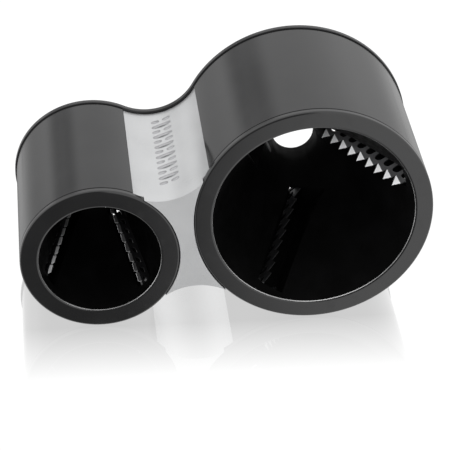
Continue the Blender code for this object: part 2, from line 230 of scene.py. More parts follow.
def gloss_black(name, dark, light, smooth, rough, specular=0.5):
    """Moulded gloss plastic: faint clouding, hairline rubs along Y and a very slight ripple."""
    shader = Shader(name, dark, smooth, specular=specular)
    clouds = shader.noise(60.0, 4.0)
    rubs = shader.remap(shader.noise(240.0, 4.0, 0.6, (1.0, 0.05, 1.0)), 0.55, 0.8, 0.0, 1.0)
    shader.blend(shader.remap(clouds, 0.35, 0.7, 0.0, 1.0), dark, light)
    shader.roughen(shader.remap(shader.math("ADD", clouds, rubs), 0.35, 1.5, smooth, rough))
    ripple = shader.noise(45.0, 2.0)
    grain = shader.noise(2600.0, 2.0)
    shader.bump(shader.math("ADD", ripple, shader.remap(grain, 0.0, 1.0, 0.0, 0.04)), 0.05 * MM, 0.35)
    return shader.material


def matte_black_painted_shade(name):
    """The rubbed inside of the funnels: almost no shine, with fine turned marks; its black is far darker
    than the same plastic outside, a painted shade for the deep funnel.
    """
    shader = Shader(name, (0.001, 0.001, 0.001), 0.55, specular=0.06)
    clouds = shader.noise(90.0, 5.0)
    tone = shader.remap(clouds, 0.4, 0.75, 0.0, 1.0)
    shader.blend(tone, (0.0006, 0.0006, 0.0006), (0.0016, 0.0016, 0.0017))
    shader.roughen(shader.remap(shader.noise(500.0, 3.0), 0.3, 0.7, 0.45, 0.65))
    shader.bump(shader.noise(1500.0, 2.0), 0.02 * MM, 0.4)
    return shader.material


def lip_painted_highlight(name):
    """The mouths' inner edges: black plastic given a pale grey colour, a painted highlight along the edge.
    """
    shader = Shader(name, (0.16, 0.16, 0.16), 0.25, specular=0.8)
    # wear is a noise that varies how pale the painted highlight is, and the roughness
    wear = shader.noise(45.0, 3.0)
    shader.blend(shader.remap(wear, 0.38, 0.62, 0.0, 1.0), (0.10, 0.10, 0.10), (0.50, 0.50, 0.50))
    shader.roughen(shader.remap(wear, 0.3, 0.7, 0.18, 0.35))
    shader.bump(shader.noise(1500.0, 2.0), 0.01 * MM, 0.4)
    return shader.material


def silver_satin(name):
    """Satin silver paint: fine flake, soft clouding and a little handling wear."""
    shader = Shader(name, (0.52, 0.53, 0.54), 0.3, metallic=0.75)
    flake = shader.noise(5200.0, 2.0)
    clouds = shader.noise(70.0, 4.0)
    tone = shader.math("ADD", shader.remap(flake, 0.3, 0.7, 0.0, 0.5),
                       shader.remap(clouds, 0.3, 0.7, 0.0, 0.5))
    shader.blend(tone, (0.50, 0.505, 0.51), (0.60, 0.605, 0.61))
    shader.roughen(shader.remap(shader.math("ADD", flake, clouds), 0.6, 1.4, 0.26, 0.38))
    shader.bump(flake, 0.012 * MM, 0.5)
    return shader.material


def ink_grey(name):
    """The printed grip marks: slightly uneven matt grey ink."""
    shader = Shader(name, (0.42, 0.42, 0.43), 0.4, metallic=0.5)
    uneven = shader.noise(900.0, 4.0)
    shader.blend(shader.remap(uneven, 0.3, 0.7, 0.0, 1.0), (0.36, 0.36, 0.37), (0.45, 0.45, 0.46))
    shader.roughen(shader.remap(uneven, 0.3, 0.7, 0.4, 0.55))
    shader.bump(uneven, 0.01 * MM, 0.4)
    return shader.material


def brushed_steel(name, dark, light, smooth, rough, stretch, metallic=1.0):
    """Steel with hairlines drawn out across the stretched axis."""
    shader = Shader(name, dark, smooth, metallic=metallic)
    lines = shader.noise(1400.0, 4.0, 0.6, stretch)
    spots = shader.noise(160.0, 4.0)
    shader.blend(shader.math("ADD", shader.remap(lines, 0.3, 0.7, 0.0, 0.7),
                                shader.remap(spots, 0.3, 0.7, 0.0, 0.3)), dark, light)
    shader.roughen(shader.remap(lines, 0.3, 0.7, smooth, rough))
    shader.bump(lines, 0.006 * MM, 0.5)
    return shader.material


HOUSING = gloss_black("housing_gloss", (0.010, 0.010, 0.0105), (0.014, 0.014, 0.0145), 0.13, 0.24, 0.43)
RING = gloss_black("ring_gloss", (0.004, 0.004, 0.0042), (0.006, 0.006, 0.0063), 0.10, 0.2, 0.8)
# Near-black funnel inside: the same plastic darkened as painted shade for the deep funnel.
INSIDE_SHADED = matte_black_painted_shade("funnel_inside_painted_shade")
SILVER = silver_satin("cover_silver")
INK = ink_grey("grip_ink")
ALONG = (1.0, 0.12, 1.0)
# Lit and shaded copies of one blade steel, from near black to near white: painted shade and painted
# highlight for faces in shadow or catching the light.
PLATE_PAINTED_SHADE = brushed_steel("blade_plate_painted_shade", (0.09, 0.09, 0.094), (0.16, 0.16, 0.164), 0.35, 0.5, ALONG, 0.5)
STEEL_PAINTED_DARK = brushed_steel("blade_painted_deep_shade", (0.008, 0.008, 0.0085), (0.016, 0.016, 0.017), 0.4, 0.6, ALONG, 0.5)
STEEL_PAINTED_DIM = brushed_steel("blade_painted_dim_shade", (0.05, 0.05, 0.051), (0.12, 0.12, 0.122), 0.35, 0.5, ALONG, 0.4)
STEEL_PAINTED_MID_LIGHT = brushed_steel("blade_painted_mid_highlight", (0.44, 0.44, 0.445), (0.60, 0.60, 0.605), 0.3, 0.45, ALONG, 0.3)
STEEL_PAINTED_HIGHLIGHT = brushed_steel("blade_painted_highlight", (0.86, 0.86, 0.87), (0.96, 0.96, 0.97), 0.3, 0.45,
                       (0.2, 1.0, 1.0), 0.1)
SCREW = brushed_steel("screw_steel", (0.38, 0.38, 0.39), (0.52, 0.52, 0.53), 0.25, 0.4, (1.0, 1.0, 0.2))
# Pale inner edge of each mouth: a painted highlight.
LIP_HIGHLIGHT = lip_painted_highlight("mouth_lip_painted_highlight")


# ---------------------------------------------------------------- mesh helpers
def add_object(name, verts, faces, finish, smooth_angle=32.0, slots=None):
    """A closed mesh with its faces pointing out; slots gives each face's material number."""
    mesh = bpy.data.meshes.new(name)
    mesh.from_pydata([tuple(v) for v in verts], [], faces)
    for entry in (finish if isinstance(finish, (list, tuple)) else [finish]):
        if entry:
            mesh.materials.append(entry)
    if slots:
        for polygon, slot in zip(mesh.polygons, slots):
            polygon.material_index = slot
    work = bmesh.new()
    work.from_mesh(mesh)
    bmesh.ops.remove_doubles(work, verts=work.verts, dist=1e-7)
    bmesh.ops.recalc_face_normals(work, faces=work.faces)
    work.to_mesh(mesh)
    work.free()
    made = bpy.data.objects.new(name, mesh)
    bpy.context.scene.collection.objects.link(made)
    shade(made, smooth_angle)
    return made


def shade(made, smooth_angle=32.0):
    made.data.shade_smooth()
    made.data.set_sharp_from_angle(angle=math.radians(smooth_angle))


def sweep_loops(loops, closed=False):
    """Vertices and faces joining equal loops of points; the ends are capped, or joined if closed."""
    count = len(loops[0])
    verts = [point for loop in loops for point in loop]
    faces = []
    rows = len(loops)
    for row in range(rows if closed else rows - 1):
        start = row * count
        following = (row + 1) % rows * count
        for k in range(count):
            nxt = (k + 1) % count
            faces.append((start + k, start + nxt, following + nxt, following + k))
    if not closed:
        faces.append(tuple(range(count)))
        faces.append(tuple(range((rows - 1) * count, rows * count)))
    return verts, faces


def on_circle(centre, radius, angle):
    return (centre[0] + radius * math.cos(angle), centre[1] + radius * math.sin(angle))


def arc(centre, radius, start, end, steps):
    return [on_circle(centre, radius, start + (end - start) * k / steps) for k in range(steps + 1)]


def full_circle(centre, radius, steps):
    return [on_circle(centre, radius, 2 * math.pi * k / steps) for k in range(steps)]


def prism(name, outline, y_front, y_rear, finish):
    loops = [[(x, y, z) for x, z in outline] for y in (y_front, y_rear)]
    return add_object(name, *sweep_loops(loops), finish)


def cylinder(name, centre, radius, y_front, y_rear, steps=96, finish=None):
    return prism(name, full_circle(centre, radius, steps), y_front, y_rear, finish)


def stepped(name, centre, profile, steps, finish):
    """A solid of round sections, one for each (radius, y) of the profile."""
    loops = [[(x, y, z) for x, z in full_circle(centre, radius, steps)] for radius, y in profile]
    return add_object(name, *sweep_loops(loops), finish)


def turned(name, centre, profile, steps, finish, slots=None):
    """A closed (radius, y) profile turned about a tube's axis; slots gives each stretch's material."""
    loops = []
    for k in range(steps):
        turn = 2 * math.pi * k / steps
        c, s = math.cos(turn), math.sin(turn)
        loops.append([(centre[0] + r * c, y, centre[1] + r * s) for r, y in profile])
    return add_object(name, *sweep_loops(loops, closed=True), finish, slots=slots * steps if slots else None)


def boolean(target, cutter, operation):
    """Combines the cutter with the target and removes the cutter."""
    step = target.modifiers.new(cutter.name, "BOOLEAN")
    step.operation = operation
    step.solver = "EXACT"
    step.object = cutter
    bpy.context.view_layer.objects.active = target
    bpy.ops.object.modifier_apply(modifier=step.name)
    bpy.data.objects.remove(cutter, do_unlink=True)


def bevel(made, width, segments=2, angle=40.0):
    """Rounds the sharp edges."""
    step = made.modifiers.new("edges", "BEVEL")
    step.width = width
    step.segments = segments
    step.limit_method = "ANGLE"
    step.angle_limit = math.radians(angle)
    bpy.context.view_layer.objects.active = made
    bpy.ops.object.modifier_apply(modifier=step.name)


def flatten(made):
    """Keeps large flats shading flat beside their rounded edges."""
    step = made.modifiers.new("flats", "WEIGHTED_NORMAL")
    step.keep_sharp = True
    step.weight = 100
    bpy.context.view_layer.objects.active = made
    bpy.ops.object.modifier_apply(modifier=step.name)


def place(made, slot, *nodes):
    """Rides on the one body and stands for its CAD nodes; the slot argument is not used."""
    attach(made, BODY)
    if nodes:
        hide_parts(*nodes)
    return made


# ---------------------------------------------------------------- waist geometry
def line_of_centres():
    dx = LARGE["centre"][0] - SMALL["centre"][0]
    dz = LARGE["centre"][1] - SMALL["centre"][1]
    return math.hypot(dx, dz), math.atan2(dz, dx)


def circle_angle(radius, distance, other):
    return math.acos(min(1.0, (radius ** 2 + distance ** 2 - other ** 2) / (2 * radius * distance)))


DISTANCE, TILT = line_of_centres()
SMALL_SEAM = circle_angle(SMALL["radius"] + WAIST_RADIUS, DISTANCE, LARGE["radius"] + WAIST_RADIUS)
LARGE_SEAM = circle_angle(LARGE["radius"] + WAIST_RADIUS, DISTANCE, SMALL["radius"] + WAIST_RADIUS)


def grip_centre(side):
    return on_circle(SMALL["centre"], SMALL["radius"] + WAIST_RADIUS, TILT + side * SMALL_SEAM)


def grip_stretch(side, tube_change, arc_radius, steps):
    """One concave grip arc, from the small tube's side to the large tube's."""
    small_turn = circle_angle(arc_radius, SMALL["radius"] + WAIST_RADIUS, SMALL["radius"] + tube_change)
    large_turn = circle_angle(arc_radius, LARGE["radius"] + WAIST_RADIUS, LARGE["radius"] + tube_change)
    start = TILT + side * (SMALL_SEAM + math.pi) + side * small_turn
    end = TILT - side * LARGE_SEAM - side * large_turn
    while (end - start) * side < 0:
        end += side * 2 * math.pi
    while (end - start) * side > 2 * math.pi:
        end -= side * 2 * math.pi
    return arc(grip_centre(side), arc_radius, start, end, steps)


def facing_stretch(tube, change, start_point, end_point, facing, steps):
    centre = tube["centre"]
    start = math.atan2(start_point[1] - centre[1], start_point[0] - centre[0]) - facing
    end = math.atan2(end_point[1] - centre[1], end_point[0] - centre[0]) - facing
    start = math.atan2(math.sin(start), math.cos(start)) + facing
    end = math.atan2(math.sin(end), math.cos(end)) + facing
    stretch = arc(centre, tube["radius"] + change, start, end, steps)
    ends = (start_point, end_point)
    return [point for point in stretch if min(math.dist(point, end) for end in ends) > 1e-6]


def waist_outline(tube_change, arc_radius, steps=72):
    top = grip_stretch(1, tube_change, arc_radius, steps)
    bottom = grip_stretch(-1, tube_change, arc_radius, steps)[::-1]
    return top + facing_stretch(LARGE, tube_change, top[-1], bottom[0], TILT + math.pi, 48) + \
        bottom + facing_stretch(SMALL, tube_change, bottom[-1], top[0], TILT, 40)


def body_outline(proud):
    """The whole figure-of-eight, grown outwards by proud."""
    grip = WAIST_RADIUS - proud
    small_part = arc(SMALL["centre"], SMALL["radius"] + proud, TILT + SMALL_SEAM,
                     TILT + 2 * math.pi - SMALL_SEAM, 120)
    bottom_part = arc(grip_centre(-1), grip, TILT - SMALL_SEAM + math.pi, TILT + LARGE_SEAM, 40)
    large_part = arc(LARGE["centre"], LARGE["radius"] + proud, TILT + LARGE_SEAM - math.pi,
                     TILT + math.pi - LARGE_SEAM, 200)
    top_part = arc(grip_centre(1), grip, TILT - LARGE_SEAM, TILT + SMALL_SEAM - math.pi, 40)
    return small_part + bottom_part[1:-1] + large_part + top_part[1:-1]


def boss_centres():
    middle = (SMALL["radius"] + DISTANCE - LARGE["radius"]) / 2
    base = on_circle(SMALL["centre"], middle, TILT)
    return [on_circle(base, BOSS_OFFSET, TILT + side * math.pi / 2) for side in (1, -1)]


# ---------------------------------------------------------------- housing
def tube_shell(tube, facing, seam, steps):
    """A moulded tube with softened ends, its wall thinned where the waist cover laps over it."""
    radius = tube["radius"]
    inner = radius - SHELL_WALL
    lap_radius = radius - WAIST_RECESS - WAIST_EDGE - GAP
    step_angle = 0.03 * MM / radius
    lap = seam + SEAM_WIDTH / radius
    lap_steps = max(24, round(steps * lap / math.pi))
    free_steps = steps - lap_steps
    samples = [(facing - lap + 2 * lap * k / lap_steps, lap_radius) for k in range(lap_steps + 1)]
    free_start = facing + lap + step_angle
    free_sweep = 2 * math.pi - 2 * (lap + step_angle)
    samples += [(free_start + free_sweep * k / free_steps, radius) for k in range(free_steps + 1)]
    soft = 0.18 * MM
    loops = []
    for angle, outside in samples:
        profile = [
            (outside - soft, SHELL_FRONT), (outside - soft * 0.3, SHELL_FRONT + soft * 0.3),
            (outside, SHELL_FRONT + soft), (outside, SHELL_REAR - soft),
            (outside - soft * 0.3, SHELL_REAR - soft * 0.3), (outside - soft, SHELL_REAR),
            (inner + soft, SHELL_REAR), (inner, SHELL_REAR - soft),
            (inner, SHELL_FRONT + soft), (inner + soft, SHELL_FRONT),
        ]
        placed = [(on_circle(tube["centre"], r, angle), y) for r, y in profile]
        loops.append([(x, y, z) for (x, z), y in placed])
    name = tube["name"] + "_shell_skin"
    made = add_object(name, *sweep_loops(loops, closed=True), HOUSING)
    flatten(made)
    return place(made, "housing_black", tube["name"] + "_tube_shell")


def waist_cover():
    """The silver grip cover, hollow behind with two screw bosses, its edges finely rounded."""
    grip_radius = WAIST_RADIUS + WAIST_RECESS
    change = -WAIST_RECESS - WAIST_EDGE
    cover = prism("waist_cover_skin", waist_outline(change, grip_radius), FRONT, SHELL_REAR, SILVER)
    for tube in (SMALL, LARGE):
        clear = cylinder("ring_clearance", tube["centre"], tube["radius"] + GAP * 0.6, FRONT - GAP,
                         SHELL_FRONT, 240)
        boolean(cover, clear, "DIFFERENCE")
    hollow_outline = waist_outline(change - WAIST_EDGE, grip_radius + WAIST_WALL, 40)
    hollow = prism("hollow", hollow_outline, SHELL_FRONT + GAP, REAR, None)
    for centre in boss_centres():
        boolean(hollow, cylinder("boss", centre, BOSS_RADIUS, FRONT, REAR + GAP, 48), "DIFFERENCE")
    boolean(cover, hollow, "DIFFERENCE")
    for centre in boss_centres():
        hole = cylinder("screw_hole", centre, SCREW_SHANK_RADIUS + GAP, SHELL_REAR - SCREW_LENGTH, REAR, 40)
        boolean(cover, hole, "DIFFERENCE")
    bevel(cover, 0.3 * MM, 3, 50.0)
    shade(cover)
    flatten(cover)
    return place(cover, "silver_cover", "waist_cover")


def rear_frame():
    """The rear frame: a rounded figure-of-eight plate with two exits and locating sleeves."""
    plate_front = REAR - REAR_THICKNESS
    soft = 0.45 * MM
    loops = []
    for k in range(5):
        turn = k * math.pi / 8
        outline = body_outline(FLANGE_PROUD - soft * (1 - math.sin(turn)) * 0.6)
        loops.append([(x, plate_front + soft * 0.6 * (1 - math.cos(turn)), z) for x, z in outline])
    for k in range(5):
        turn = k * math.pi / 8
        outline = body_outline(FLANGE_PROUD - soft * (1 - math.cos(turn)))
        loops.append([(x, REAR - soft * (1 - math.sin(turn)), z) for x, z in outline])
    made = add_object("rear_frame_skin", *sweep_loops(loops), HOUSING)
    for tube in (SMALL, LARGE):
        sleeve = tube["radius"] - SHELL_WALL - GAP
        sleeve_front = plate_front - SPIGOT_DEPTH
        bore = sleeve - SPIGOT_WALL
        tube_sleeve = cylinder("sleeve", tube["centre"], sleeve, sleeve_front, plate_front + GAP, 192)
        boolean(made, tube_sleeve, "UNION")
        profile = [(bore, sleeve_front - GAP), (bore, REAR - 0.4 * MM), (bore + 0.5 * MM, REAR + 0.1 * MM)]
        boolean(made, stepped("exit", tube["centre"], profile, 192, None), "DIFFERENCE")
    for centre in boss_centres():
        seat = REAR - SCREW_HEAD_HEIGHT - GAP
        boolean(made, cylinder("seat", centre, SCREW_HEAD_RADIUS + GAP, seat, REAR + GAP, 64), "DIFFERENCE")
        boolean(made, cylinder("hole", centre, SCREW_SHANK_RADIUS + GAP, plate_front - GAP, REAR, 48),
                "DIFFERENCE")
    shade(made)
    flatten(made)
    return place(made, "housing_black", "rear_frame")


def rear_screw(number, centre):
    """A pan-head screw with a hexagonal socket and a threaded shank."""
    head_front = REAR - SCREW_HEAD_HEIGHT
    tip = head_front - SCREW_LENGTH + GAP
    profile = [(SCREW_SHANK_RADIUS * 0.55, tip), (SCREW_SHANK_RADIUS * 0.8, tip + 0.5 * MM)]
    turns = 14
    pitch = (head_front - tip - 1.2 * MM) / turns
    for k in range(turns):
        start = tip + 0.7 * MM + k * pitch
        profile += [(SCREW_SHANK_RADIUS * 0.82, start), (SCREW_SHANK_RADIUS, start + pitch * 0.5)]
    profile += [(SCREW_SHANK_RADIUS * 0.9, head_front - 0.3 * MM), (SCREW_SHANK_RADIUS * 0.9, head_front)]
    profile += [(SCREW_HEAD_RADIUS - 0.1 * MM, head_front), (SCREW_HEAD_RADIUS, head_front + 0.1 * MM)]
    for k in range(1, 6):
        turn = k * math.pi / 12
        rise = (SCREW_HEAD_HEIGHT - 0.1 * MM) * math.sin(turn) / math.sin(5 * math.pi / 12)
        profile.append((SCREW_HEAD_RADIUS - 0.9 * MM * (1 - math.cos(turn)), head_front + 0.1 * MM + rise))
    made = stepped(f"screw_{number}", centre, profile, 64, SCREW)
    socket = [(SCREW_SOCKET_RADIUS, REAR - 0.5 * MM), (SCREW_SOCKET_RADIUS, REAR - 0.08 * MM),
              (SCREW_SOCKET_RADIUS + 0.2 * MM, REAR + GAP)]
    boolean(made, stepped("socket", centre, socket, 6, None), "DIFFERENCE")
    shade(made, 30.0)
    return place(made, "screw_steel", f"rear_screw_{number}")


# ---------------------------------------------------------------- funnels
def cone_slope(tube):
    return (tube["mouth"] - tube["tip"]) / (CONE_END - CONE_START)


def strip_frame(tube, station):
    """Origin and axes of a blade strip: down the wall, out through the wall, and across the strip."""
    angle = math.radians(station)
    slope = math.radians(tube["line_slope"])
    outward = Vector((math.cos(angle), 0.0, math.sin(angle)))
    around = Vector((-math.sin(angle), 0.0, math.cos(angle)))
    rearward = Vector((0.0, 1.0, 0.0))
    down = rearward * math.cos(slope) - outward * math.sin(slope)
    normal = outward * math.cos(slope) + rearward * math.sin(slope)
    tilt = math.radians(STRIP_ANGLE)
    out = around * math.cos(tilt) + normal * math.sin(tilt)
    across = around * math.sin(tilt) - normal * math.cos(tilt)
    centre = Vector((tube["centre"][0], FRONT, tube["centre"][1]))
    reach, depth = tube["line_start"]
    origin = centre + outward * reach + around * tube["line_offset"] + rearward * depth
    return origin, down, out, across


def strip_length(tube):
    return tube["pitch"] * tube["teeth"]


def strip_block(name, tube, station, lengths, widths, heights, finish):
    """A straight block in a strip's own axes: ranges down the wall, out through it and across."""
    origin, down, out, across = strip_frame(tube, station)
    loops = []
    for length in lengths:
        base = origin + down * length
        corners = ((0, 0), (1, 0), (1, 1), (0, 1))
        loops.append([base + out * widths[w] + across * heights[h] for w, h in corners])
    return add_object(name, *sweep_loops(loops), finish)


def funnel(tube, steps):
    """Front ring, cone and spout collar in one moulding, gloss outside and rubbed matt inside, the inside
    darkened as painted shade and the mouth's inner edge paled as a painted highlight.
    """
    mouth = tube["mouth"]
    tip = tube["tip"]
    radius = tube["radius"]
    wall = CONE_WALL / math.cos(math.atan(cone_slope(tube)))
    spigot = radius - SHELL_WALL - GAP
    spigot_end = RING_THICKNESS + SPIGOT_DEPTH
    spigot_root = mouth - cone_slope(tube) * (spigot_end - CONE_START) + wall
    lip = tip - 0.5 * MM
    # Slot 2 puts the painted highlight on the mouth's inner chamfer.
    gloss, matt, lip_highlight_slot = 0, 1, 2
    profile = [(mouth + RING_CHAMFER, 0.0, gloss), (mouth + RING_CHAMFER + 0.3 * MM, 0.0, gloss)]
    for k in range(9):
        turn = k * math.pi / 16
        rounded = radius - RING_FILLET * (1 - math.sin(turn))
        profile.append((rounded, RING_FILLET * (1 - math.cos(turn)), gloss))
    profile += [
        (radius, RING_THICKNESS - 0.15 * MM, gloss),
        (radius - 0.15 * MM, RING_THICKNESS, gloss),
        (spigot, RING_THICKNESS, gloss),
        (spigot, spigot_end, gloss),
        (spigot_root, spigot_end, gloss),
        (tip + wall, CONE_END, gloss),
        (lip + CONE_WALL, COLLAR_END, gloss),
        (lip, COLLAR_END, matt),
        (tip, CONE_END, matt),
        (mouth, CONE_START, matt),
        (mouth, RING_CHAMFER, lip_highlight_slot),
        (mouth + RING_CHAMFER * 0.3, RING_CHAMFER * 0.3, gloss),
    ]
    placed = [(r, FRONT + y) for r, y, kind in profile]
    kinds = [kind for r, y, kind in profile]
    made = turned(tube["name"] + "_funnel_skin", tube["centre"], placed, steps, [RING, INSIDE_SHADED, LIP_HIGHLIGHT], kinds)
    length = strip_length(tube)
    floor = tube["strip_width"] + GAP
    inner = -tube["tooth_height"] - TOOTH_CLEARANCE
    behind = -STRIP_THICKNESS / 2 - GAP
    for station in tube["stations"]:
        bulge = strip_block("bulge", tube, station, (-POCKET_WALL, length + POCKET_WALL),
                            (inner - POCKET_WALL, floor + POCKET_WALL),
                            (behind, tube["pocket"] + POCKET_WALL), INSIDE_SHADED)
        room = cylinder("room", tube["centre"], spigot - GAP, FRONT + RING_THICKNESS + GAP, SHELL_REAR, 128)
        boolean(bulge, room, "INTERSECT")
        core = [(mouth, 0.0), (mouth, CONE_START), (tip, CONE_END), (tip, DEPTH)]
        core = [(r + BULGE_ROOT, FRONT + y) for r, y in core]
        boolean(bulge, stepped("core", tube["centre"], core, steps, None), "DIFFERENCE")
        boolean(made, bulge, "UNION")
    for station in tube["stations"]:
        cuts = [
            ((-GAP, length + GAP), (inner, floor), (behind - GAP, tube["pocket"])),
            ((0.0, length), (inner - GAP, floor + GAP), (-SLOT_BEHIND, behind - GAP / 2)),
            ((CLAMP_START - GAP, length + GAP / 2), (CLAMP_SEAT - GAP, floor + POCKET_WALL),
             (behind - CLAMP_WIDTH - GAP, behind - GAP / 3)),
        ]
        for number, ranges in enumerate(cuts):
            boolean(made, strip_block(f"cut_{number}", tube, station, *ranges, INSIDE_SHADED), "DIFFERENCE")
    shade(made)
    flatten(made)
    return place(made, "funnel_black", tube["name"] + "_funnel")


# ---------------------------------------------------------------- blades
def strip_outer_edge(tube, along):
    """The strip's outer edge runs in at the front, where the housing leaves less room."""
    full = tube["strip_width"]
    return min(full, full * 0.72 + along * 0.2)


PLAIN_FACE, PLAIN_BACK, TOOTH_FACE, TOOTH_BACK = range(4)
# Painted highlight on the strip faces that catch the light, painted shade on the rest.
LARGE["finishes"] = [PLATE_PAINTED_SHADE, STEEL_PAINTED_DARK, STEEL_PAINTED_HIGHLIGHT, STEEL_PAINTED_DARK]
SMALL["finishes"] = [STEEL_PAINTED_DARK, STEEL_PAINTED_DARK, STEEL_PAINTED_DIM, STEEL_PAINTED_MID_LIGHT]


def comb(tube, station, number):
    """A steel strip with ground saw teeth along its inner edge and a rounded window above each; its faces
    carry painted highlight and painted shade.
    """
    origin, down, out, across = strip_frame(tube, station)
    pitch = tube["pitch"]
    wide, tall, centre = tube["window"]
    half = STRIP_THICKNESS / 2
    edge = 0.06 * MM
    verts = []
    index = {}
    faces = []
    slots = []

    def point(along, width, side, thickness=half):
        key = (round(along, 7), round(width, 7), side, round(thickness, 7))
        if key not in index:
            index[key] = len(verts)
            verts.append(origin + down * along + out * width + across * side * thickness)
        return index[key]

    def skin(corners, slot_above, slot_below):
        """The same face on both sides of the strip; each side takes its own painted brightness of the steel,
        lighter or darker for how the light falls.
        """
        for side, slot in ((1, slot_above), (-1, slot_below)):
            face = tuple(point(a, w, side, t) for a, w, t in corners)
            faces.append(face if side == 1 else face[::-1])
            slots.append(slot)

    def wall(start, end, slot):
        """The strip's edge between two corners."""
        (a, w, t), (b, v, u) = start, end
        faces.append((point(a, w, 1, t), point(a, w, -1, t), point(b, v, -1, u), point(b, v, 1, u)))
        slots.append(slot)

    ring_steps = 24
    for tooth in range(tube["teeth"]):
        near = tooth * pitch
        far = near + pitch
        middle = near + pitch * 0.44
        edge_near = strip_outer_edge(tube, near)
        edge_far = strip_outer_edge(tube, far)
        edge_middle = edge_near + (edge_far - edge_near) * 0.44
        reach = min(centre, edge_middle / 2)
        shrink = reach / centre
        rim = [(near, 0.0), (middle, 0.0), (far, 0.0), (far, edge_far / 2), (far, edge_far),
               (middle, edge_middle), (near, edge_near), (near, edge_near / 2)]
        hole = []
        for k in range(ring_steps):
            turn = math.radians(225) + 2 * math.pi * k / ring_steps
            power = 0.72
            c, s = math.cos(turn), math.sin(turn)
            hole.append((middle + wide * math.copysign(abs(c) ** power, c),
                         reach + tall * shrink * math.copysign(abs(s) ** power, s)))
        per = ring_steps // 8
        for k in range(8):
            run = [hole[(k * per + j) % ring_steps] for j in range(per + 1)]
            corners = [(*rim[k], half), (*rim[(k + 1) % 8], half)] + [(*h, half) for h in run[::-1]]
            skin(corners, PLAIN_FACE, PLAIN_BACK)
        for k in range(ring_steps):
            wall((*hole[k], half), (*hole[(k + 1) % ring_steps], half), PLAIN_BACK)
        outer = [rim[4], rim[5], rim[6]]
        for a, b in zip(outer, outer[1:]):
            wall((*a, half), (*b, half), 0)
        height = tube["tooth_height"]
        notch_along, notch_depth = tube["notch"]
        tip = (near + pitch * tube["tooth_tip"], -height, edge)
        notch = (near + pitch * notch_along, -height * notch_depth, half * 0.6)
        heel_along, heel_depth = tube["heel"]
        heel = (near + pitch * heel_along, -height * heel_depth, (half + edge) / 2)
        base = (near, 0.0, half)
        top = (middle, 0.0, half)
        corner = (far, 0.0, half)
        skin([base, notch, corner, top], PLAIN_FACE, PLAIN_BACK)
        skin([notch, tip, heel, corner], TOOTH_FACE, TOOTH_BACK)
        wall(base, notch, PLAIN_BACK)
        wall(notch, tip, TOOTH_BACK)
        wall(tip, heel, TOOTH_BACK)
        wall(heel, corner, TOOTH_BACK)
    for along in (0.0, tube["teeth"] * pitch):
        ends = [(along, 0.0, half), (along, strip_outer_edge(tube, along) / 2, half),
                (along, strip_outer_edge(tube, along), half)]
        for a, b in zip(ends, ends[1:]):
            wall(a, b, 0)
    made = add_object(f"{tube['name']}_toothed_strip_{number}", verts, faces, tube["finishes"], 18.0, slots)
    return place(made, "blade_steel", f"{tube['name']}_comb_{number}")


def clamp(tube, station, number):
    """A black moulded bar behind the strip, outside the funnel, with chamfered edges."""
    low = CLAMP_SEAT
    high = tube["strip_width"] - 0.6 * MM
    lengths = (CLAMP_START, strip_length(tube) - 1.0 * MM)
    heights = (-STRIP_THICKNESS / 2 - GAP - CLAMP_WIDTH, -STRIP_THICKNESS / 2 - GAP)
    name = f"{tube['name']}_clamp_bar_{number}"
    # The clamp takes the funnel inside's black, darkened as painted shade.
    made = strip_block(name, tube, station, lengths, (low, high), heights, INSIDE_SHADED)
    bevel(made, 0.3 * MM, 3)
    shade(made)
    flatten(made)
    return place(made, "funnel_black", f"{tube['name']}_blade_clamp_{number}")


# ---------------------------------------------------------------- printed grip marks
def grip_marks():
    """Slanted rounded dashes printed in a column along the top of the grip, a generic pattern."""
    verts = []
    faces = []
    radius = WAIST_RADIUS + WAIST_RECESS - 0.02 * MM
    middle = -math.pi / 2 + MARK_TURN
    for k in range(MARK_COUNT):
        along = MARK_START + (MARK_END - MARK_START) * (k + 0.5) / MARK_COUNT
        pieces = ((0.0, MARK_LENGTH),) if k % 2 else ((-0.29 * MARK_LENGTH, 0.42 * MARK_LENGTH),
                                                      (0.29 * MARK_LENGTH, 0.42 * MARK_LENGTH))
        for shift, length in pieces:
            start = len(verts)
            for end in (1, -1):
                for j in range(9):
                    turn = math.radians(-90 + 22.5 * j)
                    u = shift + end * (length - MARK_WIDTH + MARK_WIDTH * math.cos(turn)) / 2
                    v = end * MARK_WIDTH / 2 * math.sin(turn) + MARK_SLANT * u
                    x, z = on_circle(grip_centre(1), radius, middle + u / radius)
                    verts.append((x, FRONT + along + v, z))
            faces.append(tuple(range(start, len(verts))))
    made = add_object("grip_marks", verts, faces, INK)
    thicken = made.modifiers.new("ink", "SOLIDIFY")
    thicken.thickness = 0.02 * MM
    thicken.offset = 0.0
    bpy.context.view_layer.objects.active = made
    bpy.ops.object.modifier_apply(modifier=thicken.name)
    return place(made, "silver_cover")


MARK_COUNT = 13
MARK_START = 9.5 * MM
MARK_END = 51.5 * MM
MARK_WIDTH = 1.6 * MM
MARK_LENGTH = 6.6 * MM
MARK_SLANT = 0.25
MARK_TURN = 0.24                  # how far the column sits round the grip from its lowest line, in radians


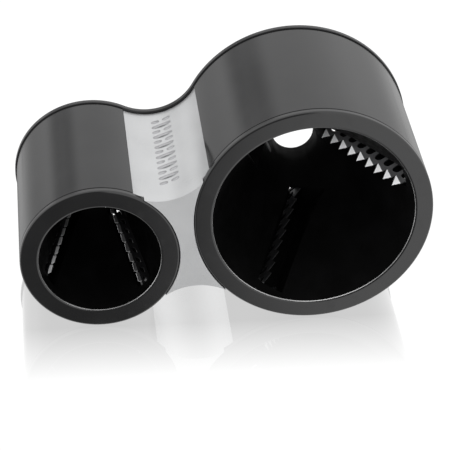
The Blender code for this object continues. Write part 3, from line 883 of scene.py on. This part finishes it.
# ---------------------------------------------------------------- studio
def studio():
    """A white room with soft dark patches, shaded in front, with a front light and a pale gloss floor."""
    scene = bpy.context.scene
    scene.view_settings.view_transform = "Standard"
    world = bpy.data.worlds.new("studio")
    scene.world = world
    world.use_nodes = True
    tree = world.node_tree
    background = tree.nodes["Background"]
    coords = tree.nodes.new("ShaderNodeTexCoord")
    brightness = None
    for direction, width, depth in STREAKS:
        apart = tree.nodes.new("ShaderNodeVectorMath")
        apart.operation = "DISTANCE"
        tree.links.new(coords.outputs["Generated"], apart.inputs[0])
        apart.inputs[1].default_value = Vector(direction).normalized()
        ramp = tree.nodes.new("ShaderNodeMapRange")
        ramp.interpolation_type = "SMOOTHSTEP"
        ramp.inputs["From Min"].default_value = 0.0
        ramp.inputs["From Max"].default_value = width
        ramp.inputs["To Min"].default_value = 1.0 - depth
        ramp.inputs["To Max"].default_value = 1.0
        tree.links.new(apart.outputs["Value"], ramp.inputs["Value"])
        if brightness:
            times = tree.nodes.new("ShaderNodeMath")
            times.operation = "MULTIPLY"
            tree.links.new(brightness, times.inputs[0])
            tree.links.new(ramp.outputs["Result"], times.inputs[1])
            brightness = times.outputs["Value"]
        else:
            brightness = ramp.outputs["Result"]
    split = tree.nodes.new("ShaderNodeSeparateXYZ")
    tree.links.new(coords.outputs["Generated"], split.inputs["Vector"])
    sideways = tree.nodes.new("ShaderNodeMapRange")
    ahead = tree.nodes.new("ShaderNodeMapRange")
    for ramp, axis, ends in ((sideways, "X", FRONT_SHADE), (ahead, "Y", FRONT_REACH)):
        for socket, number in zip(("From Min", "From Max", "To Min", "To Max"), ends):
            ramp.inputs[socket].default_value = number
        tree.links.new(split.outputs[axis], ramp.inputs["Value"])
    sideways.interpolation_type = "SMOOTHSTEP"
    front = tree.nodes.new("ShaderNodeMath")
    front.operation = "MAXIMUM"
    tree.links.new(sideways.outputs["Result"], front.inputs[0])
    tree.links.new(ahead.outputs["Result"], front.inputs[1])
    shaded = tree.nodes.new("ShaderNodeMath")
    shaded.operation = "MULTIPLY"
    tree.links.new(brightness, shaded.inputs[0])
    tree.links.new(front.outputs["Value"], shaded.inputs[1])
    tree.links.new(shaded.outputs["Value"], background.inputs["Color"])
    background.inputs["Strength"].default_value = WORLD_STRENGTH

    light = bpy.data.lights.new("front_soft", "AREA")
    light.shape = "DISK"
    light.size = LAMP_SIZE
    light.energy = FRONT_LIGHT
    lamp = bpy.data.objects.new("front_soft", light)
    scene.collection.objects.link(lamp)
    lamp.location = LAMP_PLACE
    aim = Vector(LAMP_AIM) - lamp.location
    lamp.rotation_euler = aim.to_track_quat("-Z", "Y").to_euler()
    lamp.visible_glossy = False
    floor_sheet()


def floor_sheet():
    """A pale floor with a mirror-like gloss close round the object, fading out over a few centimetres."""
    shader = Shader("floor_pale", (0.9, 0.9, 0.9), 0.04, metallic=1.0)
    tree = shader.tree
    shader.roughen(shader.remap(shader.noise(30.0, 3.0), 0.3, 0.7, 0.02, 0.06))
    split = tree.nodes.new("ShaderNodeSeparateXYZ")
    shader.link(shader.coords.outputs["Object"], split.inputs["Vector"])
    over = []
    for axis, half in (("X", HIGH[0]), ("Y", REAR)):
        size = shader.math("ABSOLUTE", split.outputs[axis])
        over.append(shader.math("MAXIMUM", shader.math("SUBTRACT", size, half), 0.0))
    apart = shader.math("SQRT", shader.math("ADD", shader.math("POWER", over[0], 2.0),
                                            shader.math("POWER", over[1], 2.0)))
    near = shader.remap(apart, 0.0, FLOOR_FADE, FLOOR_GLOSS, 0.0)
    white = tree.nodes.new("ShaderNodeEmission")
    white.inputs["Strength"].default_value = WORLD_STRENGTH
    mix = tree.nodes.new("ShaderNodeMixShader")
    shader.link(near, mix.inputs["Fac"])
    shader.link(white.outputs["Emission"], mix.inputs[1])
    shader.link(shader.main.outputs["BSDF"], mix.inputs[2])
    shader.link(mix.outputs["Shader"], tree.nodes["Material Output"].inputs["Surface"])
    half = FLOOR_HALF
    corners = [(-half, -half, 0.0), (half, -half, 0.0), (half, half, 0.0), (-half, half, 0.0)]
    floor = add_object("floor", corners, [(0, 1, 2, 3)], shader.material)
    floor.location.z = LOW[2] - 0.05 * MM
    floor.visible_glossy = False


STREAKS = (                       # darker parts of the room: direction, width and depth
    ((-0.40, 0.87, 0.28), 0.17, 0.55),
    ((-0.30, 0.86, 0.40), 0.17, 0.50),
    ((-0.52, 0.86, -0.15), 0.45, 0.45),
    ((0.52, 0.85, -0.10), 0.45, 0.36),
    ((0.05, 0.75, -0.66), 0.75, 0.95),
)
FRONT_SHADE = (0.045, 0.165, 0.16, 0.97)   # the room in front darkens from right to left
FRONT_REACH = (-0.72, -0.45, 0.0, 1.0)     # where that shading gives way to the rest of the room
WORLD_STRENGTH = 1.08
FRONT_LIGHT = 9.0
LAMP_SIZE = 0.30
LAMP_PLACE = (-0.30, -0.78, 0.60)
LAMP_AIM = (0.01, FRONT, 0.035)
FLOOR_HALF = 3.0
FLOOR_GLOSS = 0.46
FLOOR_FADE = 0.032
VIEW_AZIMUTH, VIEW_ELEVATION, VIEW_ROLL = -6.336, 32.477, 1.114
VIEW_PLACE = (-62.01, -580.1, 389.97)      # in millimetres
VIEW_LENS = 167.42


def camera():
    """The view from the front, above and slightly left."""
    azimuth, elevation, roll = (math.radians(v) for v in (VIEW_AZIMUTH, VIEW_ELEVATION, VIEW_ROLL))
    back = Vector((math.sin(azimuth) * math.cos(elevation), -math.cos(azimuth) * math.cos(elevation),
                   math.sin(elevation)))
    level = (-back).cross(Vector((0.0, 0.0, 1.0))).normalized()
    upright = level.cross(-back)
    right = level * math.cos(roll) + upright * math.sin(roll)
    up = upright * math.cos(roll) - level * math.sin(roll)
    lens = bpy.data.cameras.new("view")
    lens.lens = VIEW_LENS
    lens.sensor_width = 36.0
    lens.clip_start = 0.01
    made = bpy.data.objects.new("view", lens)
    bpy.context.scene.collection.objects.link(made)
    turn = Matrix((right, up, back)).transposed().to_4x4()
    made.matrix_world = Matrix.Translation(Vector(VIEW_PLACE) * MM) @ turn
    bpy.context.scene.camera = made


# ---------------------------------------------------------------- assembly
tube_shell(SMALL, TILT, SMALL_SEAM, 240)
tube_shell(LARGE, TILT + math.pi, LARGE_SEAM, 320)
waist_cover()
grip_marks()
rear_frame()
for number, centre in enumerate(boss_centres(), 1):
    rear_screw(number, centre)
for tube, steps in ((SMALL, 160), (LARGE, 220)):
    funnel(tube, steps)
    for number, station in enumerate(tube["stations"], 1):
        comb(tube, station, number)
        clamp(tube, station, number)
studio()
camera()
